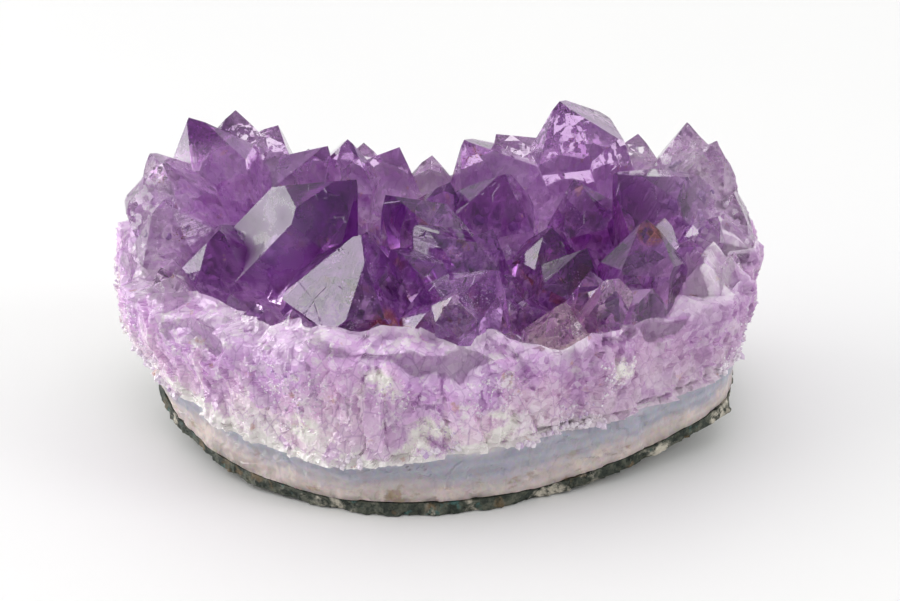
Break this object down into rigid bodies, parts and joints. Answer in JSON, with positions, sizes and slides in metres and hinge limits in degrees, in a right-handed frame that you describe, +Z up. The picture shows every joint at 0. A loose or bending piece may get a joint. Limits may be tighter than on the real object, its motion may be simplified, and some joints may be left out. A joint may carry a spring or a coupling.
{
  "type": "amethyst cluster",
  "caption": "Hand-size amethyst cluster: six-sided violet quartz points in a pale broken crust, on a grey-blue agate band and a dark basalt rind.",
  "frame": {"origin": "middle of the footprint, on the surface that the stone rests on", "axes": "+X along the length, to the right as seen in the picture; +Y to the back; +Z up, the way the points grow"},
  "size_m": [0.1355, 0.0878, 0.0604],
  "materials": {
    "basalt": "matte",
    "agate": "satin",
    "amethyst": "polished"
  },
  "bodies": {
    "root": {"basalt_rind": "basalt", "agate_band": "agate", "amethyst_crystals": "amethyst"}
  },
  "joints": []
}
